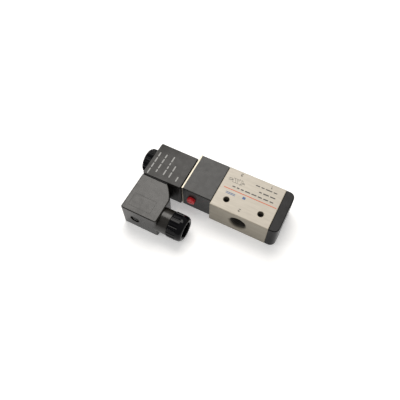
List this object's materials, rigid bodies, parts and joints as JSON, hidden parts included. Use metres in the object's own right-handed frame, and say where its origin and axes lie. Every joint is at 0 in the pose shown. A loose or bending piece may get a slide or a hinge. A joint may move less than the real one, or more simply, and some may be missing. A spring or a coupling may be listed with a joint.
{
  "type": "solenoid directional valve",
  "caption": "Pilot-operated, normally open 3/2 air valve with a threaded-port aluminium block, spool, coil, rectangular connector and cable gland.",
  "frame": {"origin": "midway between the two mounting holes, on the side face that the valve rests on", "axes": "+X along the spool from the coil to the end cap, +Y from the outlet port to the supply and exhaust ports, +Z out of the label"},
  "size_m": [0.114, 0.0659, 0.0222],
  "materials": {
    "anodised": "satin anodised, pale champagne",
    "label_foil": "satin printed foil",
    "black_nylon": "moulded, faint sheen",
    "coil_resin": "moulded resin",
    "plug_nylon": "moulded, glossy",
    "red_acetal": "moulded, glossy",
    "rubber": "matt",
    "steel": "bright plated",
    "black_steel": "blackened",
    "brass": "turned",
    "copper": "enamelled copper wire",
    "spool_alloy": "turned",
    "acetal": "natural, off-white"
  },
  "bodies": {
    "valve_block": {"valve_body": "anodised", "body_label": "label_foil", "end_cap": "black_nylon", "end_cap_seal": "rubber", "end_cap_screw_1": "steel", "end_cap_screw_2": "steel", "return_spring": "steel", "pilot_gasket": "rubber", "pilot_body": "black_nylon", "pilot_nozzle": "brass", "pilot_screw_1": "steel", "pilot_screw_2": "steel", "tube_plate": "steel", "plate_screw_1": "steel", "plate_screw_2": "steel", "armature_tube": "brass", "tube_seal": "rubber", "fixed_core": "steel", "plunger_spring": "steel", "override_spring": "steel"},
    "spool_set": {"spool": "spool_alloy", "spool_seal_1": "rubber", "spool_seal_2": "rubber", "spool_seal_3": "rubber", "spool_seal_4": "rubber", "spring_seat": "steel", "pilot_piston": "acetal", "piston_seal": "rubber"},
    "plunger_set": {"plunger": "steel", "plunger_seal": "rubber"},
    "override_slider": {"override_seal": "rubber"},
    "override_knob": {"override_button": "red_acetal"},
    "coil": {"coil_case": "coil_resin", "coil_seal": "rubber", "coil_yoke": "steel", "coil_bobbin": "acetal", "coil_winding": "copper", "coil_blade_1": "brass", "coil_blade_2": "brass", "ground_blade": "brass"},
    "connector": {"plug_gasket": "rubber", "plug_insert": "acetal", "plug_contact_1": "brass", "plug_contact_2": "brass", "plug_contact_3": "brass", "plug_housing": "plug_nylon", "plug_screw": "black_steel", "gland_grommet": "rubber"},
    "gland_slider": {"gland_washer": "steel"},
    "gland_cap": {"gland_nut": "plug_nylon"},
    "nut_slider": {"nut_seal": "rubber"},
    "nut_cap": {"coil_nut": "black_nylon", "nut_insert": "brass"}
  },
  "joints": [
    {"name": "spool_slide", "type": "slide", "parent": "valve_block", "child": "spool_set", "axis": [1, 0, 0], "range_m": [0, 0.004], "stiffness_N_per_m": 800, "springref_m": -0.006, "deforming": ["return_spring"]},
    {"name": "plunger_slide", "type": "slide", "parent": "valve_block", "child": "plunger_set", "axis": [-1, 0, 0], "range_m": [0, 0.001], "stiffness_N_per_m": 500, "springref_m": -0.003, "deforming": ["plunger_spring"]},
    {"name": "override_push", "type": "slide", "parent": "valve_block", "child": "override_slider", "axis": [0, 1, 0], "range_m": [0, 0.0015], "stiffness_N_per_m": 400, "springref_m": -0.002, "deforming": ["override_spring"]},
    {"name": "override_turn", "type": "hinge", "parent": "override_slider", "child": "override_knob", "pos_m": [-0.03795, -0.006, 0.011], "axis": [0, 1, 0], "range_deg": [0, 90]},
    {"name": "coil_swivel", "type": "hinge", "parent": "valve_block", "child": "coil", "pos_m": [-0.04485, 0.0103, 0.011], "axis": [1, 0, 0], "range_deg": [-180, 180]},
    {"name": "connector_pull", "type": "slide", "parent": "coil", "child": "connector", "axis": [0, -1, 0], "range_m": [0, 0.02]},
    {"name": "gland_nut_travel", "type": "slide", "parent": "connector", "child": "gland_slider", "axis": [1, 0, 0], "range_m": [0, 0.0045]},
    {"name": "gland_nut_turn", "type": "hinge", "parent": "gland_slider", "child": "gland_cap", "pos_m": [-0.034, -0.0298, 0.011], "axis": [1, 0, 0], "range_deg": [0, 1080]},
    {"name": "coil_nut_travel", "type": "slide", "parent": "valve_block", "child": "nut_slider", "axis": [-1, 0, 0], "range_m": [0, 0.005]},
    {"name": "coil_nut_turn", "type": "hinge", "parent": "nut_slider", "child": "nut_cap", "pos_m": [-0.04485, 0.0103, 0.011], "axis": [-1, 0, 0], "range_deg": [0, 1800]}
  ],
  "couplings": [
    {"joint": "gland_nut_travel", "follows": "gland_nut_turn", "m_per_rad": 0.00023873},
    {"joint": "coil_nut_travel", "follows": "coil_nut_turn", "m_per_rad": 0.00015915}
  ]
}
